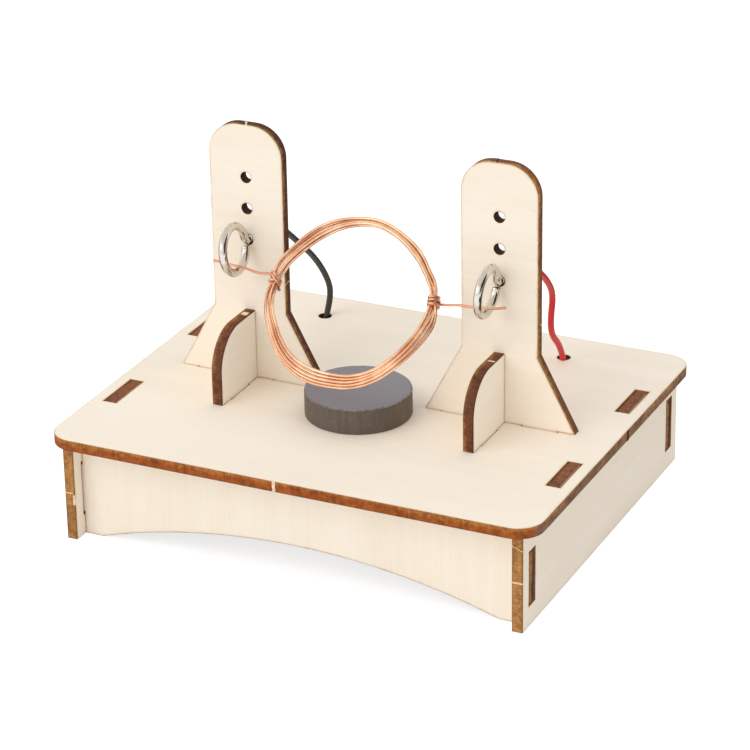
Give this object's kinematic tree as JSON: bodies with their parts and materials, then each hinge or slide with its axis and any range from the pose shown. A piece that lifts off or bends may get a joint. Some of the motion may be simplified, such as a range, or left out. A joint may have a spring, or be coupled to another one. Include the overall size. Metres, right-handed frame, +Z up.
{
  "type": "demonstration electric motor",
  "caption": "Table-top demonstration motor: a wire coil turns in screw eyes above a disc magnet, on a slotted plywood stand with a battery holder underneath.",
  "frame": {"origin": "on the table, under the middle of the deck", "axes": "+X along the coil's axle towards the red lead's side, +Y to the back, where the leads go down, +Z up"},
  "size_m": [0.0966, 0.0794, 0.0716],
  "materials": {
    "plywood": "bare basswood plywood, laser-cut, with charred edges",
    "nickel": "nickel-plated steel, polished",
    "ferrite": "sintered ferrite, ground faces",
    "enamelled_copper": "clear-enamelled copper wire, glossy",
    "bared_copper": "copper wire, scraped bare",
    "black_insulation": "soft PVC, satin",
    "red_insulation": "soft PVC, satin",
    "tinned_strands": "tinned copper strands",
    "holder_plastic": "moulded ABS, fine texture",
    "foam": "double-sided foam tape",
    "contact_metal": "nickel-plated spring steel",
    "cell_jacket": "plain printed film over a steel can"
  },
  "bodies": {
    "stand": {"deck_plate": "plywood", "front_panel": "plywood", "rear_panel": "plywood", "left_side_panel": "plywood", "right_side_panel": "plywood", "left_upright": "plywood", "right_upright": "plywood", "left_gusset": "plywood", "right_gusset": "plywood", "left_screw_eye": "nickel", "right_screw_eye": "nickel", "disc_magnet": "ferrite", "black_lead": "black_insulation", "red_lead": "red_insulation", "black_lead_eye_wrap": "tinned_strands", "red_lead_eye_wrap": "tinned_strands", "black_lead_tail": "tinned_strands", "red_lead_tail": "tinned_strands", "battery_holder": "holder_plastic", "holder_foam_tape": "foam", "negative_contact": "contact_metal", "positive_contact": "contact_metal", "negative_spring": "contact_metal", "battery_cell": "cell_jacket"},
    "rotor": {"coil_winding": "enamelled_copper", "left_coil_binding": "enamelled_copper", "right_coil_binding": "enamelled_copper", "left_axle_wire": "bared_copper", "right_axle_wire": "bared_copper"}
  },
  "joints": [
    {"name": "coil_spin", "type": "hinge", "parent": "stand", "child": "rotor", "pos_m": [0, -0.0065, 0.0458], "axis": [1, 0, 0], "continuous": true}
  ]
}
